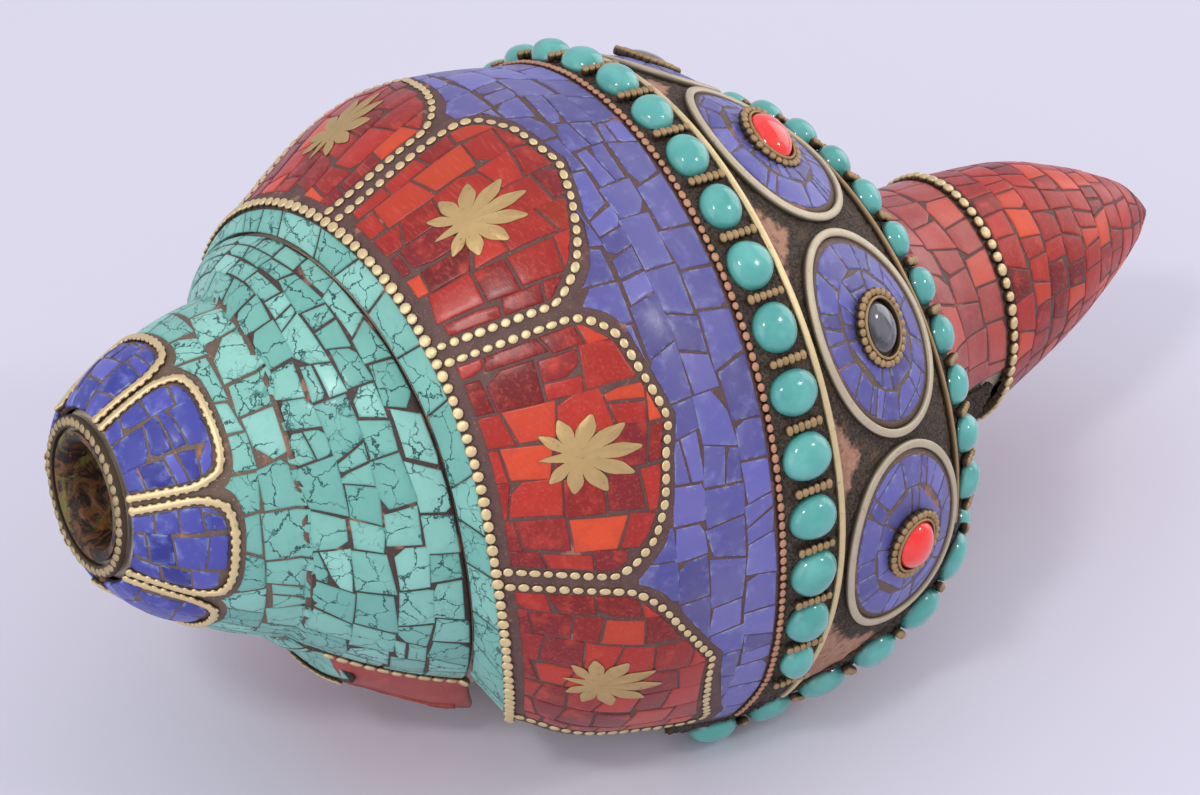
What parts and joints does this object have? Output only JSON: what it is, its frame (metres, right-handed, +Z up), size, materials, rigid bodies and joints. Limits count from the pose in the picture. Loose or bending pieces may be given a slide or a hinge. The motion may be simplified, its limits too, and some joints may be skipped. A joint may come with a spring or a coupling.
{
  "type": "conch shell trumpet",
  "caption": "Spiral conch shell trumpet with a blow hole, covered in turquoise, lapis and coral mosaic with brass wire and cabochons.",
  "frame": {"origin": "middle of the footprint's bounding box, on the floor that the shell lies on", "axes": "+X from the blow hole towards the canal tip, seen from above; +Z up; -Y the side whose outer lip lies on the floor"},
  "size_m": [0.2004, 0.1068, 0.1011],
  "materials": {
    "shell": "satin",
    "brass": "satin",
    "copper": "satin",
    "turquoise": "satin",
    "lapis": "satin",
    "coral": "gloss",
    "cabochon": "gloss",
    "lac": "matte",
    "red_stone": "gloss"
  },
  "bodies": {
    "root": {"apex_petal_1": "lapis", "apex_petal_2": "lapis", "apex_petal_3": "lapis", "apex_petal_4": "lapis", "apex_petal_5": "lapis", "apex_petal_6": "lapis", "apex_petal_7": "lapis", "apex_petal_wire": "brass", "band_top_wire": "brass", "blow_hole_ring": "brass", "brass_motif_2": "brass", "brass_motif_3": "brass", "brass_motif_4": "brass", "brass_motif_5": "brass", "brass_motif_6": "brass", "brass_motif_7": "brass", "canal_ring": "brass", "canal_tip_coral": "coral", "conch_shell": "shell", "coral_petal_1": "coral", "coral_petal_2": "coral", "coral_petal_3": "coral", "coral_petal_4": "coral", "coral_petal_5": "coral", "coral_petal_6": "coral", "coral_petal_7": "coral", "girdle_wire": "copper", "lapis_band": "lapis", "lapis_plaque_1": "lapis", "lapis_plaque_2": "lapis", "lapis_plaque_3": "lapis", "lapis_plaque_4": "lapis", "lapis_plaque_5": "lapis", "lapis_plaque_6": "lapis", "lapis_plaque_7": "lapis", "lip_stone_row": "cabochon", "lower_stone_row": "cabochon", "medallion_band": "lac", "medallion_frame_1": "brass", "medallion_frame_2": "brass", "medallion_frame_3": "brass", "medallion_frame_4": "brass", "medallion_frame_5": "brass", "medallion_frame_6": "brass", "medallion_frame_7": "brass", "medallion_stone_1": "red_stone", "medallion_stone_2": "red_stone", "medallion_stone_3": "red_stone", "medallion_stone_4": "red_stone", "medallion_stone_5": "red_stone", "medallion_stone_6": "red_stone", "medallion_stone_7": "red_stone", "mouth_cup": "brass", "neck_coral": "coral", "parietal_coral": "coral", "petal_wire": "brass", "ramp_turquoise": "turquoise", "shoulder_wire": "brass", "spire_turquoise": "turquoise", "upper_stone_row": "cabochon"}
  },
  "joints": []
}
